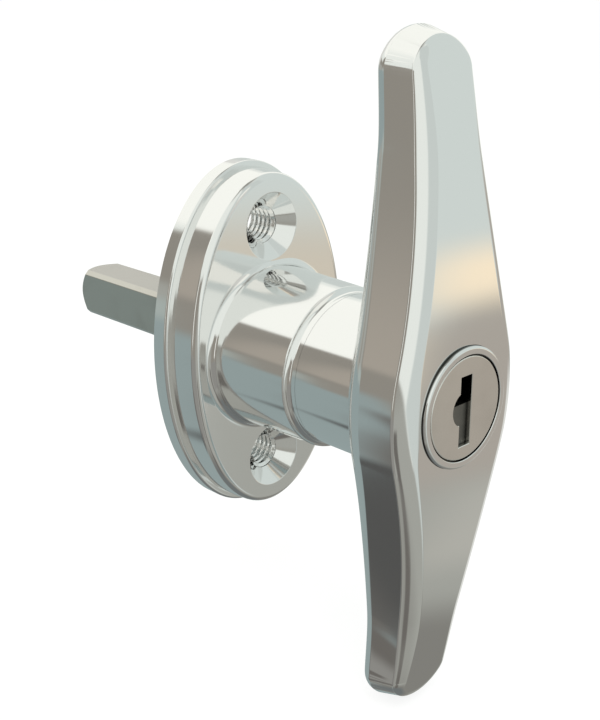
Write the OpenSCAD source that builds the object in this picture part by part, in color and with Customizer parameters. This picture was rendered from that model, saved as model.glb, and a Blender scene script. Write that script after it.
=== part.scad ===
// T-handle latch with a key lock: a two-step oval rose with a round boss, a crowned T-grip on
// a round neck, a square spindle to the rear and a wafer lock that locks the turn.
// Frame: origin at the centre of the rose's rear face, +Z up along the grip, -Y to the front.
// Heights named below are measured forward from the rose's rear face.

/* [Rose] */
// Width of the rear disc
rose_w = 34.6; // [33:0.1:38]
// Height of the rear disc
rose_h = 56.85; // [55:0.05:64]
// Thickness of the rear disc
rim_t = 2.8; // [2.2:0.1:3.6]
// Thickness of the whole rose
rose_t = 8.1; // [7.6:0.1:9.5]
// Ledge between the discs at the sides
ledge_side = 1.1; // [0.8:0.05:1.5]
// Ledge between the discs at the ends
ledge_end = 0.9; // [0.8:0.05:1.5]
// Radius of the rear disc's front edge
rim_round = 0.5; // [0.2:0.05:0.7]
// Taper of the face disc's side
face_taper = 0.4; // [0:0.05:0.6]
// Radius of the face disc's front edge
face_round = 1.1; // [0.4:0.05:1.3]

/* [Boss] */
// Diameter of the boss where it leaves the rose
boss_d = 25.7; // [25.4:0.1:26.4]
// Diameter of the boss at its front chamfer
boss_tip_d = 24.7; // [24.4:0.1:25.2]
// Height of the boss's front face
boss_front = 24.8; // [24:0.1:27]
// Length of the boss's front chamfer
boss_chamfer = 1.6; // [0.4:0.1:2.4]
// Radius of the fillet at the boss's root
boss_fillet = 0.8; // [0.3:0.05:1.2]

/* [Fixing holes] */
// Distance between the two fixing holes
screw_pitch = 38; // [37.5:0.1:39.5]
// Inside diameter of the tapped holes
screw_d = 5; // [4:0.1:6]
// Diameter of the countersink at the rose's face
sink_d = 10.5; // [8:0.1:10.8]

/* [Grip] */
// Length of the grip
grip_l = 100; // [92:0.5:120]
// Width of the grip at its middle
grip_mid_w = 25.6; // [24.8:0.1:29]
// Width of the grip at its narrowest
grip_waist_w = 11.5; // [9:0.1:13]
// Radius of the bulge at the middle
grip_bulge_r = 28; // [24:0.5:34]
// Radius of the hollow flanks
grip_flank_r = 166; // [150:1:190]
// Thickness of the grip at its middle
grip_t = 12.04; // [11:0.02:13]
// Height of the grip's front at its middle
grip_front = 46.04; // [45.5:0.02:50]
// Radius of the front's crown along the grip
crown_r = 205; // [190:1:400]
// Radius of the shoulders of the grip's round ends
shoulder_r = 9.5; // [8:0.1:12]
// Radius of the very tip of the grip's ends
tip_r = 4.6; // [3.6:0.1:5.6]
// Radius of the crowned band along the front's edges
band_r = 4.6; // [4:0.1:6]
// Radius of that band at the grip's middle
band_mid_r = 6; // [4.6:0.1:7]
// Lean of the band where it leaves the grip's side, in degrees
band_from = 38; // [30:1:50]
// Lean of the band where it meets the front, in degrees
band_to = 77; // [65:1:88]
// Radius of the front's rounded edge at the ends
band_end_r = 3; // [1.6:0.1:3.4]
// Radius of the back edge at the middle
back_round_mid = 4.4; // [2.4:0.1:4.8]
// Radius of the back edge at the ends
back_round_end = 2.1; // [1:0.1:2.4]
// Diameter of the neck
neck_d = 23; // [22:0.1:24]

/* [Shank] */
// Diameter of the shank that turns in the boss
shank_d = 17.84; // [17.6:0.02:18.2]
// Radial clearance of the shank in its bore
shank_gap = 0.08; // [0.04:0.01:0.1]
// Gap between the neck's shoulder and the boss
shoulder_gap = 0.1; // [0.05:0.01:0.2]
// Diameter of the double-D tail
tail_d = 14; // [13.6:0.1:14.6]
// Width across the tail's flats
tail_flats = 12; // [11.6:0.1:12.4]
// Distance of the tail's end from the rear face
tail_recess = 0.6; // [0.3:0.1:1]
// Length of the tail behind the ring groove
tail_land = 0.9; // [0.6:0.1:1.2]
// Depth of the ring groove
ring_groove_depth = 0.7; // [0.4:0.05:0.8]
// Fit between flat faces that lie on each other
seat_gap = 0.05; // [0.02:0.01:0.1]

/* [Stop washer and rings] */
// Thickness of the retaining ring
ring_t = 1; // [0.8:0.1:1.2]
// Outside diameter of the retaining ring
ring_d = 17.2; // [16.6:0.1:18]
// Opening of the retaining ring
ring_mouth = 5; // [4:0.1:7]
// Thickness of the stop washer
washer_t = 1.5; // [1.2:0.1:1.8]
// Diameter of the stop washer
washer_d = 21.4; // [20.8:0.1:21.6]
// Reach of the stop lug from the axis
lug_reach = 12.8; // [12:0.1:12.9]
// Width of the stop lug
lug_w = 5; // [4:0.1:6]
// Height that the sprung washer takes up
disc_h = 0.7; // [0.6:0.05:0.9]
// Thickness of the sprung washer's metal
disc_t = 0.3; // [0.2:0.05:0.4]
// Angle that the handle turns
turn = 90; // [60:1:90]
// Section diameter of the shaft seal
seal_t = 1.48; // [1.3:0.02:1.6]
// Height of the seal's groove
seal_h = 21.8; // [21.7:0.1:22]
// Width of the seal's groove
seal_groove_w = 1.8; // [1.7:0.05:1.9]

/* [Spindle] */
// Width across the spindle's flats
spindle_w = 8; // [7:0.1:8.2]
// Length of the spindle behind the rear face
spindle_out = 38.9; // [20:0.1:80]
// Chamfer along the spindle's edges
spindle_edge = 0.7; // [0.3:0.05:1.2]
// Length of the spindle's turned end
spindle_nose = 1.6; // [0.5:0.1:2.5]
// Diameter of the spindle's end face
spindle_nose_d = 7.2; // [5:0.1:7.8]
// Depth of the socket measured from the rear face
socket_h = 15; // [14:0.1:15.6]
// Clearance of the spindle in its socket
socket_gap = 0.05; // [0.02:0.01:0.08]
// Diameter of the cross pin
pin_d = 3; // [2:0.1:3.5]
// Height of the cross pin
pin_h = 10; // [8:0.1:11]
// Clearance round pins that are pressed in
pin_gap = 0.02; // [0.01:0.005:0.04]

/* [Lock] */
// Outside diameter of the lock's housing
lock_d = 17.5; // [15.5:0.1:19.2]
// Radial clearance of the housing in the grip
lock_gap = 0.05; // [0.03:0.01:0.06]
// Height that the housing stands proud of the grip
lock_proud = 0.5; // [0.2:0.02:1]
// Rounding of the housing's front edge
lock_round = 0.4; // [0.2:0.05:0.5]
// Distance of the housing's rear end from the neck's shoulder
housing_up = 4.64; // [4.4:0.02:4.9]
// Width of the housing's ring round the plug's head
ring_w = 1.13; // [0.9:0.01:1.3]
// Thickness of the plug's head
head_t = 0.6; // [0.4:0.05:0.65]
// Wall of the housing round the plug's body
sleeve_wall = 1.68; // [1.5:0.01:1.8]
// Radial clearance of the plug in its housing
plug_gap = 0.07; // [0.04:0.01:0.1]
// Thickness of the plug's clip
clip_t = 0.8; // [0.6:0.05:0.9]
// Reach of the clip beyond the plug's body
clip_reach = 1.2; // [0.9:0.05:1.4]
// Depth of the clip's groove in the plug
clip_depth = 0.8; // [0.5:0.1:1]
// Diameter of the pin that holds the housing
hold_pin_d = 2; // [1.5:0.1:2.5]
// Distance of the housing's pin from the housing's rear end
hold_pin_up = 1.96; // [1.5:0.02:2.8]

/* [Keyway] */
// Width of the keyway
key_w = 2.38; // [2:0.02:2.8]
// Reach of the keyway above the axis
key_up = 4.7; // [4:0.1:5]
// Reach of the keyway below the axis
key_down = 5.5; // [4:0.1:5.6]
// Radius of the keyway's rounded bulge
key_bulge_r = 2.47; // [1.8:0.01:2.6]
// Sideways place of the bulge's centre
key_bulge_x = -0.22; // [-0.5:0.01:0]

/* [Wafers] */
// Thickness of a wafer
wafer_t = 1.2; // [0.8:0.05:1.3]
// Distance from one wafer to the next
wafer_pitch = 2.2; // [2.1:0.05:2.25]
// Width of a wafer
wafer_w = 5.4; // [5:0.1:5.8]
// Clearance round a wafer in its slot
wafer_gap = 0.1; // [0.06:0.01:0.12]
// Rise of a wafer from flush to locked
wafer_rise = 0.8; // [0.5:0.05:0.9]
// Depth of the first wafer behind the plug's face
wafer_set = 0.8; // [0.75:0.05:1.2]
// Width of a wafer's window
window_w = 3.2; // [3:0.1:3.6]
// Least wall of a wafer over its window
window_wall = 0.96; // [0.7:0.01:1.4]
// Outside diameter of a wafer's spring
spring_d = 1.5; // [1.3:0.05:1.6]
// Diameter of the spring's wire
spring_wire = 0.3; // [0.2:0.02:0.34]
// Number of curls in a spring
spring_turns = 4; // [3:1:4]

/* [Bolt] */
// Width of the bolt
bolt_w = 5; // [4.5:0.1:5.2]
// Thickness of the bolt
bolt_t = 4; // [3.6:0.1:4.1]
// Height of the bolt's rear face
bolt_h = 17; // [16.9:0.05:17.1]
// Clearance of the bolt in its slot
bolt_gap = 0.15; // [0.1:0.01:0.18]
// Distance of the drive pin from the plug's axis
throw_r = 1.6; // [1.2:0.05:1.7]
// Diameter of the drive pin
drive_d = 2.2; // [1.8:0.1:2.4]
// Clearance of the drive pin in the bolt
drive_gap = 0.12; // [0.1:0.01:0.2]

/* [Hidden] */
$fn = 96;
eps = 0.01;
cut = 1;

// Ovals of the rose, as half width and half height
rear_half = [rose_w / 2, rose_h / 2];
face_half = rear_half - [ledge_side, ledge_end];
oval_n = 96;

// Stack behind the boss: tail end, ring, stop washer, shank step, sprung washer, floor
ring_h = tail_recess + tail_land;
washer_h = ring_h + ring_t + 2 * seat_gap + seat_gap;
step_h = washer_h + washer_t + seat_gap;
floor_h = step_h + disc_h + seat_gap;
shank_r = shank_d / 2;
bore_r = shank_r + shank_gap;
recess_r = washer_d / 2 + 0.3;
lug_clear = 0.2;
ring_inner = tail_d / 2 - ring_groove_depth;
shoulder_h = boss_front + shoulder_gap;

// Outline of the grip: bulge at the middle, hollow flank, round shoulder and tip
grip_back = grip_front - grip_t;
flank_x = grip_waist_w / 2 + grip_flank_r;
bulge_x = grip_mid_w / 2 - grip_bulge_r;
flank_z = sqrt(pow(grip_flank_r + grip_bulge_r, 2) - pow(flank_x - bulge_x, 2));
bulge_to = atan2(flank_z, flank_x - bulge_x);

// Centre of the shoulder's arc, which touches the flank's arc and the tip's arc
tip_z = grip_l / 2 - tip_r;
to_flank = [flank_x, flank_z - tip_z];
shoulder_reach = shoulder_r - tip_r;
shoulder_share = (pow(norm(to_flank), 2) + pow(shoulder_reach, 2) - pow(grip_flank_r + shoulder_r, 2))
    / (2 * norm(to_flank));
shoulder_off = sqrt(pow(shoulder_reach, 2) - pow(shoulder_share, 2));
shoulder_at = [0, tip_z] + (shoulder_share * to_flank + shoulder_off * [to_flank.y, -to_flank.x]) / norm(to_flank);
shoulder_from = atan2(flank_z - shoulder_at.y, flank_x - shoulder_at.x);
shoulder_to = atan2(tip_z - shoulder_at.y, -shoulder_at.x);
back_fade = 22;
band_mid_l = 6;
band_mid_from = 46;
band_mid_to = 86;
band_end_z = 44;
band_end_l = 2;
arc_steps = 6;
quarter = 4 * arc_steps;
ring_n = 4 * quarter;
round_steps = 4;

// Lock, from the plug's face back to the shank
head_d = lock_d - 2 * ring_w - 2 * plug_gap;
plug_d = lock_d - 2 * sleeve_wall - 2 * plug_gap;
clip_d = plug_d + 2 * clip_reach;
face_h = grip_front + lock_proud;
plug_h = face_h - seat_gap;
head_h = plug_h - head_t;
housing_h = shoulder_h + housing_up;
hold_pin_h = housing_h + hold_pin_up;
clip_h = housing_h - clip_t - seat_gap;
plug_end = clip_h - 0.8;
chamber_h = plug_end - 0.3;
plug_r = plug_d / 2;
plug_bore = plug_r + plug_gap;
key_end = wafer_low(5) - 1;
hold_in = plug_bore + 0.45;
groove_r = plug_r + wafer_rise + 0.3;
wafer_r = plug_r - 0.05;
window_z = 0.4;
// Steps of the windows from wafer to wafer, as a cut key has them
window_step = [0, -0.4, 0.4, -0.8, -0.4];
window_h = sqrt(pow(wafer_r, 2) - pow(window_w / 2, 2)) - window_wall - max(window_step) - window_z;
// Height of a wafer's rear face
function wafer_low(i) = plug_h - wafer_set - wafer_t - (i - 1) * wafer_pitch;

// Springs: each stands in a pocket beside its wafer, under the wafer's ear
ear_w = spring_d + 0.3;
ear_x = wafer_w / 2;
ear_z = 0.6;
ear_t = 1.1;
spring_x = ear_x + ear_w / 2;
pocket_z = -3.1;
spring_l = ear_z - pocket_z - 2 * seat_gap;
spring_pitch = (spring_l - spring_wire) / spring_turns;
spring_r = (spring_d - spring_wire) / 2;
pocket_up = ear_z + ear_t + wafer_rise + 0.1;
coil_rings = 8;
coil_sides = 6;

// Bolt and its eccentric pin, which stands at 45 degrees at rest
bolt_front = bolt_h + bolt_t;
throw_x = throw_r * sin(45);
travel = 2 * throw_x;
drive_end = bolt_front - 1.5;
drive_top = plug_end + 2.8;
bolt_tip = bore_r - 0.4;
bolt_heel = -5;
sweep_r = throw_r + drive_d / 2 + 0.5;
tip_chamfer = 0.8;

// A place named by its height in front of the rear face: local z runs forward, local y up
module upright() rotate([90, 0, 0]) children();

// Cylinder between two heights
module drum(d, low, high) translate([0, 0, low]) cylinder(d = d, h = high - low);

// Point at an angle on an oval, drawn in by inset along its normal
function oval_point(half, a, inset) =
    let (n = [half.y * cos(a), half.x * sin(a)])
    [half.x * cos(a), half.y * sin(a)] - inset * n / norm(n);

// Both discs of the rose in one skin, from levels of [oval, inset, height]
module rose_block() {
    levels = concat([[rear_half, 0, 0]],
        [for (a = [0 : 30 : 90]) [rear_half, rim_round * (1 - cos(a)), rim_t - rim_round * (1 - sin(a))]],
        [[face_half, 0, rim_t]],
        [for (a = [0 : 22.5 : 90]) [face_half, face_taper + face_round * (1 - cos(a)),
            rose_t - face_round * (1 - sin(a))]]);
    points = [for (level = levels, k = [0 : oval_n - 1])
        let (p = oval_point(level[0], 360 * k / oval_n, level[1])) [p.x, p.y, level[2]]];
    top = (len(levels) - 1) * oval_n;
    polyhedron(points, concat(tube_walls(len(levels), oval_n),
        [[for (k = [0 : oval_n - 1]) k], [for (k = [oval_n - 1 : -1 : 0]) top + k]]), convexity = 4);
}

// Triangles between rings of n points that are stacked one on another
function tube_walls(levels, n) = [for (l = [0 : levels - 2], j = [0 : n - 1])
    let (k = (j + 1) % n, a = l * n + j, d = l * n + k)
    each [[a, a + n, d + n], [a, d + n, d]]];

// Half section of a sleeve or disc with a rounded front edge
module rounded_section(r, low, high, round) {
    difference() {
        translate([0, low]) square([r, high - low]);
        translate([r - round, high - round]) difference() {
            square(round + cut);
            circle(r = round);
        }
    }
}

// Tapped hole with its countersink, at the rose's face
module screw_cut() {
    drum(screw_d, -cut, rose_t + cut);
    depth = (sink_d - screw_d) / 2;
    translate([0, 0, rose_t - depth]) cylinder(d1 = screw_d, d2 = sink_d + 2 * cut, h = depth + cut);
}

// Half section of the boss: fillet at the root, slight taper, chamfer at the front
module boss_section() {
    r = boss_d / 2;
    tip = boss_tip_d / 2;
    side_l = boss_front - boss_chamfer - rose_t;
    root = r - (r - tip) * boss_fillet / side_l;
    polygon([[0, rim_t], [r, rim_t], [r, rose_t], [tip, rose_t + side_l],
        [neck_d / 2 + seat_gap, boss_front], [0, boss_front]]);
    translate([root, rose_t]) difference() {
        translate([-cut, -cut]) square(boss_fillet + cut);
        translate([boss_fillet, boss_fillet]) circle(r = boss_fillet);
    }
}

// Recess behind the rose in which the stop washer's lug turns from rest to the turned end
module stop_recess() {
    side = asin((lug_w / 2 + lug_clear) / recess_r);
    drum(2 * recess_r, -cut, floor_h);
    rotate([0, 0, -turn - side]) translate([0, 0, -cut])
        rotate_extrude(angle = turn + 2 * side) square([lug_reach + lug_clear, floor_h + cut]);
}

// Notch in the boss's bore that takes the bolt when it is thrown
module bolt_notch() {
    reach = bolt_tip + travel + 0.4;
    wide = bolt_w + 2 * bolt_gap;
    translate([bore_r - 2, -wide / 2, bolt_h - bolt_gap - 0.05])
        cube([reach - bore_r + 2, wide, bolt_t + 2 * bolt_gap + 0.1]);
}

module base_flange() {
    color([0.80, 0.83, 0.85]) upright() difference() {
        union() {
            rose_block();
            rotate_extrude() boss_section();
        }
        drum(2 * bore_r, -cut, boss_front + cut);
        stop_recess();
        for (side = [-1, 1]) translate([0, side * screw_pitch / 2, 0]) screw_cut();
        for (place = [0, -turn]) rotate([0, 0, place]) bolt_notch();
    }
}

// Outline of the grip in one quarter: step i runs up the bulge, the flank, the shoulder and the tip,
// and the point is drawn in by inset
function arc_point(x, z, r, a) = [x + r * cos(a), z + r * sin(a)];
function between(low, high, share) = low + (high - low) * share;
function quarter_point(i, inset) =
    i <= arc_steps ? arc_point(bulge_x, 0, grip_bulge_r - inset, bulge_to * i / arc_steps)
    : i <= 2 * arc_steps ? arc_point(flank_x, flank_z, -grip_flank_r - inset,
        between(bulge_to, shoulder_from, i / arc_steps - 1))
    : i <= 3 * arc_steps ? arc_point(shoulder_at.x, shoulder_at.y, shoulder_r - inset,
        between(shoulder_from, shoulder_to, i / arc_steps - 2))
    : arc_point(0, tip_z, tip_r - inset, between(shoulder_to, 90, i / arc_steps - 3));

// Point j of the whole outline, which runs through the four quarters
function quarter_step(j) = let (q = floor(j / quarter)) q % 2 == 0 ? j - q * quarter : (q + 1) * quarter - j;
function ring_point(j, inset) =
    let (q = floor(j / quarter), p = quarter_point(quarter_step(j), inset))
    [q == 1 || q == 2 ? -p.x : p.x, q >= 2 ? -p.y : p.y];

// Height of the crowned front, and radius of the back edge, at a place along the grip
function front_at(z) = grip_front - z * z / (2 * crown_r);
function back_round_at(z) = back_round_end
    + (back_round_mid - back_round_end) * exp(-pow(z / back_fade, 2));

// Ring of points at one level of the back edge's rounding
function back_ring(turned) = [for (j = [0 : ring_n - 1])
    let (r = back_round_at(ring_point(j, 0).y), p = ring_point(j, r * (1 - sin(turned))))
    [p.x, p.y, grip_back + r * (1 - cos(turned))]];

// Ring of points on the band along the front's edges, at a share of its turn from side to front:
// the band is wider at the middle and turns into a plain rounded edge at the ends
function mid_share(z) = exp(-pow(z / band_mid_l, 2));
function end_share(z) = let (t = min(max((abs(z) - band_end_z) / band_end_l, 0), 1)) t * t * (3 - 2 * t);
function band_value(z, flank, middle, end) =
    between(between(flank, middle, mid_share(z)), end, end_share(z));
function band_ring(share) = [for (j = [0 : ring_n - 1])
    let (z = ring_point(j, 0).y,
        r = band_value(z, band_r, band_mid_r, band_end_r),
        from = band_value(z, band_from, band_mid_from, 0),
        to = band_value(z, band_to, band_mid_to, 90),
        a = between(from, to, share),
        p = ring_point(j, r * (cos(from) - cos(a))))
    [p.x, p.y, front_at(p.y) - r * (sin(to) - sin(a))]];

// Strips across one end ring, from each point to its mirror image
function strip(low, a, b, c, d) = low ? [[a, b, c], [a, c, d]] : [[c, b, a], [d, c, a]];
function cap(base, low) = [
    for (j = [0 : quarter - 1], half = [0, 1])
        let (a = half == 0 ? j : 2 * quarter + j, d = half == 0 ? 2 * quarter - j : (4 * quarter - j) % ring_n)
        for (t = strip(low, base + a, base + a + 1, base + d - 1 + (d == 0 ? ring_n : 0), base + d))
            if (t[0] != t[1] && t[1] != t[2] && t[0] != t[2]) t];

module grip_block() {
    rings = concat([for (s = [0 : round_steps]) back_ring(90 * s / round_steps)],
        [for (s = [0 : round_steps]) band_ring(s / round_steps)]);
    levels = len(rings);
    points = [for (ring = rings, p = ring) p];
    polyhedron(points, concat(tube_walls(levels, ring_n), cap(0, true),
        cap((levels - 1) * ring_n, false)), convexity = 6);
}

// Double-D bar or bore of the tail, wider all round by gap
module tail_shape(gap) {
    intersection() {
        circle(d = tail_d + 2 * gap);
        square([tail_d + 2 * cut, tail_flats + 2 * gap], center = true);
    }
}

// Ring cut out of a shaft between two heights, down to radius inner
module ring_cut(inner, outer, low, high) {
    translate([0, 0, low]) rotate_extrude() translate([inner, 0]) square([outer - inner, high - low]);
}

// Hole across the axis, along local y, from one distance to another
module cross_hole(d, height, from, to) {
    translate([0, from, height]) rotate([-90, 0, 0]) cylinder(d = d, h = to - from);
}

module t_handle() {
    color([0.80, 0.82, 0.84]) upright() difference() {
        union() {
            grip_block();
            drum(neck_d, shoulder_h, grip_back + back_round_mid + cut);
            drum(shank_d, step_h, shoulder_h + cut);
            translate([0, 0, tail_recess]) linear_extrude(step_h - tail_recess + cut) tail_shape(0);
        }
        drum(lock_d + 2 * lock_gap, chamber_h, face_h + cut);
        drum(2 * sweep_r, drive_end - 0.2, chamber_h + cut);
        translate([bolt_heel - bolt_gap, -bolt_w / 2 - bolt_gap, bolt_h - bolt_gap])
            cube([shank_r + cut - bolt_heel, bolt_w + 2 * bolt_gap, bolt_t + 2 * bolt_gap]);
        translate([0, 0, -cut]) linear_extrude(socket_h + cut) square(spindle_w + 2 * socket_gap, center = true);
        cross_hole(pin_d + 2 * pin_gap, pin_h, -shank_r - cut, shank_r + cut);
        ring_cut(shank_r - seal_t - 0.04, shank_r + cut, seal_h, seal_h + seal_groove_w);
        ring_cut(ring_inner, tail_d / 2 + cut, ring_h, ring_h + ring_t + 2 * seat_gap);
        cross_hole(hold_pin_d + 2 * pin_gap, hold_pin_h, -neck_d / 2 - cut, -lock_d / 2 + cut);
    }
}

module spindle() {
    half = spindle_w / 2;
    flat = half - spindle_edge;
    nose_r = spindle_nose_d / 2;
    color([0.62, 0.62, 0.57]) upright() difference() {
        intersection() {
            translate([0, 0, -spindle_out]) linear_extrude(spindle_out + socket_h - 2 * socket_gap)
                polygon([[half, flat], [flat, half], [-flat, half], [-half, flat],
                    [-half, -flat], [-flat, -half], [flat, -half], [half, -flat]]);
            rotate_extrude() polygon([[0, -spindle_out], [nose_r, -spindle_out],
                [nose_r + spindle_nose, -spindle_out + spindle_nose],
                [spindle_w, -spindle_out + spindle_nose + spindle_w - nose_r - spindle_nose],
                [spindle_w, socket_h], [0, socket_h]]);
        }
        cross_hole(pin_d + 2 * pin_gap, pin_h, -spindle_w, spindle_w);
    }
}

module spindle_pin() {
    reach = shank_r - 0.3;
    color([0.55, 0.56, 0.58]) upright() cross_hole(pin_d, pin_h, -reach, reach);
}

module stop_washer() {
    color([0.70, 0.72, 0.74]) upright() translate([0, 0, washer_h]) linear_extrude(washer_t) difference() {
        union() {
            circle(d = washer_d);
            intersection() {
                translate([0, -lug_w / 2]) square([lug_reach + cut, lug_w]);
                circle(r = lug_reach);
            }
        }
        tail_shape(seat_gap);
    }
}

module disc_spring() {
    inner = bore_r + 0.2;
    outer = washer_d / 2 - 0.1;
    high = step_h + disc_h;
    color([0.45, 0.47, 0.50]) upright() rotate_extrude()
        polygon([[inner, high - disc_t], [inner, high], [outer, step_h + disc_t], [outer, step_h]]);
}

module retaining_ring() {
    lug = 1.3;
    color([0.42, 0.43, 0.45]) upright() translate([0, 0, ring_h + seat_gap]) linear_extrude(ring_t) difference() {
        union() {
            circle(d = ring_d);
            for (side = [-1, 1]) translate([ring_d / 2 - 0.4, side * (ring_mouth / 2 + lug)]) circle(r = lug);
        }
        circle(r = ring_inner + 0.03);
        translate([0, -ring_mouth / 2]) square([ring_d, ring_mouth]);
        for (side = [-1, 1]) translate([ring_d / 2 - 0.4, side * (ring_mouth / 2 + lug)]) circle(r = lug / 2);
    }
}

module shaft_seal() {
    color([0.12, 0.12, 0.12]) upright() translate([0, 0, seal_h + seal_groove_w / 2])
        rotate_extrude() translate([shank_r + 0.02 - seal_t / 2, 0]) circle(d = seal_t);
}

// Slots for the wafers when they rise, at the four quarters of the housing
module rise_slots() {
    low = wafer_low(5) - 0.3;
    high = wafer_low(1) + wafer_t + wafer_gap;
    wide = wafer_w + 0.3;
    intersection() {
        drum(2 * groove_r, low, high);
        for (place = [0, 90]) rotate([0, 0, place])
            translate([-wide / 2, -groove_r - cut, low]) cube([wide, 2 * groove_r + 2 * cut, high - low]);
    }
}

module lock_housing() {
    color([0.82, 0.84, 0.85]) upright() difference() {
        rotate_extrude() rounded_section(lock_d / 2, housing_h, face_h, lock_round);
        drum(head_d + 2 * plug_gap, head_h - seat_gap, face_h + cut);
        drum(2 * plug_bore, housing_h - cut, face_h);
        rise_slots();
        cross_hole(hold_pin_d + 2 * pin_gap, hold_pin_h, -lock_d / 2 - cut, -hold_in);
    }
}

module housing_pin() {
    color([0.55, 0.56, 0.58]) upright()
        cross_hole(hold_pin_d, hold_pin_h, -neck_d / 2 + 0.1, -hold_in - seat_gap);
}

module keyway_shape() {
    translate([-key_w / 2, -key_down]) square([key_w, key_down + key_up]);
    intersection() {
        translate([key_bulge_x, 0]) circle(r = key_bulge_r);
        translate([-key_bulge_r + key_bulge_x, -key_bulge_r]) square([key_bulge_r - key_bulge_x, 2 * key_bulge_r]);
    }
}

// Slot across the plug for one wafer, with the pocket for its spring
module wafer_cut(i) {
    low = wafer_low(i) - wafer_gap;
    deep = wafer_t + 2 * wafer_gap;
    pocket = spring_d + 0.2;
    translate([-ear_x - wafer_gap, -plug_r - cut, low]) cube([2 * ear_x + 2 * wafer_gap, plug_d + 2 * cut, deep]);
    translate([0, pocket_z, low]) cube([ear_x + ear_w + wafer_gap, pocket_up - pocket_z, deep]);
    translate([ear_x, pocket_z, low + deep / 2 - pocket / 2]) cube([ear_w + wafer_gap, ear_z - pocket_z, pocket]);
}

module lock_plug() {
    color([0.66, 0.63, 0.57]) upright() difference() {
        union() {
            drum(head_d, head_h, plug_h);
            drum(plug_d, plug_end, head_h + eps);
        }
        translate([0, 0, key_end]) linear_extrude(plug_h - key_end + cut) keyway_shape();
        for (i = [1 : 5]) wafer_cut(i);
        ring_cut(plug_r - clip_depth, plug_r + cut, clip_h - seat_gap, housing_h);
        translate([-throw_x, throw_x, 0]) drum(drive_d + 2 * pin_gap, plug_end - cut, drive_top + seat_gap);
    }
}

module plug_clip() {
    color([0.42, 0.43, 0.45]) upright() translate([0, 0, clip_h]) linear_extrude(clip_t) difference() {
        circle(d = clip_d);
        circle(r = plug_r - clip_depth + 0.03);
        translate([0, -plug_r / 2]) square([clip_d, plug_r]);
    }
}

module drive_pin() {
    color([0.55, 0.56, 0.58]) upright() translate([-throw_x, throw_x, 0]) drum(drive_d, drive_end, drive_top);
}

module lock_bolt() {
    half = bolt_w / 2;
    slot = drive_d / 2 + drive_gap;
    color([0.68, 0.66, 0.55]) upright() difference() {
        translate([0, 0, bolt_h]) linear_extrude(bolt_t) polygon([[bolt_heel, -half],
            [bolt_tip - tip_chamfer, -half], [bolt_tip, -half + tip_chamfer],
            [bolt_tip, half - tip_chamfer], [bolt_tip - tip_chamfer, half], [bolt_heel, half]]);
        translate([-throw_x - slot, throw_x - drive_d / 2 - 0.25, drive_end - 0.2])
            cube([2 * slot, half + cut, bolt_t]);
    }
}

// Flat wafer with its window, which the key lifts, and the ear that its spring bears on
module wafer(i) {
    color([0.52, 0.51, 0.48]) upright() translate([0, 0, wafer_low(i)]) linear_extrude(wafer_t) difference() {
        union() {
            intersection() {
                circle(r = wafer_r);
                square([wafer_w, plug_d], center = true);
            }
            translate([0, ear_z]) square([ear_x + ear_w, ear_t]);
        }
        translate([-window_w / 2, window_z + window_step[i - 1]]) square([window_w, window_h]);
    }
}

// Coil that stands in its pocket along local y, as one tube of six sides with eight rings a curl
function coil_centre(s) = let (a = 360 * s / coil_rings)
    [spring_r * cos(a), pocket_z + seat_gap + spring_wire / 2 + spring_pitch * s / coil_rings, spring_r * sin(a)];
function coil_ring(s) = let (a = 360 * s / coil_rings, c = coil_centre(s))
    [for (k = [0 : coil_sides - 1]) let (b = 360 * k / coil_sides, w = spring_wire / 2 * cos(b), v = spring_wire / 2 * sin(b))
        [c.x + w * cos(a), c.y + v, c.z + w * sin(a)]];
function coil_gap(n) = min([for (s = [0 : n - coil_rings]) norm(coil_centre(s + coil_rings) - coil_centre(s))]) - spring_wire;

module wafer_spring(i) {
    steps = coil_rings * spring_turns;
    points = [for (s = [0 : steps], p = coil_ring(s)) p];
    top = coil_sides * steps;
    low_end = [for (k = [1 : coil_sides - 2]) [0, k, k + 1]];
    high_end = [for (k = [1 : coil_sides - 2]) [top, top + k + 1, top + k]];
    color([0.60, 0.60, 0.60]) upright() translate([spring_x, 0, wafer_low(i) + wafer_t / 2])
        polyhedron(points, concat(tube_walls(steps + 1, coil_sides), low_end, high_end), convexity = 4);
}

echo("least gap between a spring's curls, mm:", coil_gap(coil_rings * spring_turns));

base_flange();
t_handle();
spindle();
spindle_pin();
stop_washer();
disc_spring();
retaining_ring();
shaft_seal();
lock_housing();
housing_pin();
lock_plug();
plug_clip();
drive_pin();
lock_bolt();
wafer(1);  // wafer_1
wafer(2);  // wafer_2
wafer(3);  // wafer_3
wafer(4);  // wafer_4
wafer(5);  // wafer_5
wafer_spring(1);  // wafer_spring_1
wafer_spring(2);  // wafer_spring_2
wafer_spring(3);  // wafer_spring_3
wafer_spring(4);  // wafer_spring_4
wafer_spring(5);  // wafer_spring_5
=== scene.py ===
"""Dressed model of a T-handle latch with a key lock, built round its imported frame.

Lengths inside the classes are millimetres, in places named (across, up, ahead): across runs to the
right seen from the front, up along the grip, and ahead is the height in front of the rose's rear face.
"""
import logging
import math
from dataclasses import dataclass, field
from enum import Enum
from typing import Any, Callable, Optional, Sequence, Union

import bpy
import numpy as np
from mathutils import Matrix, Vector
from mathutils.geometry import delaunay_2d_cdt


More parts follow.
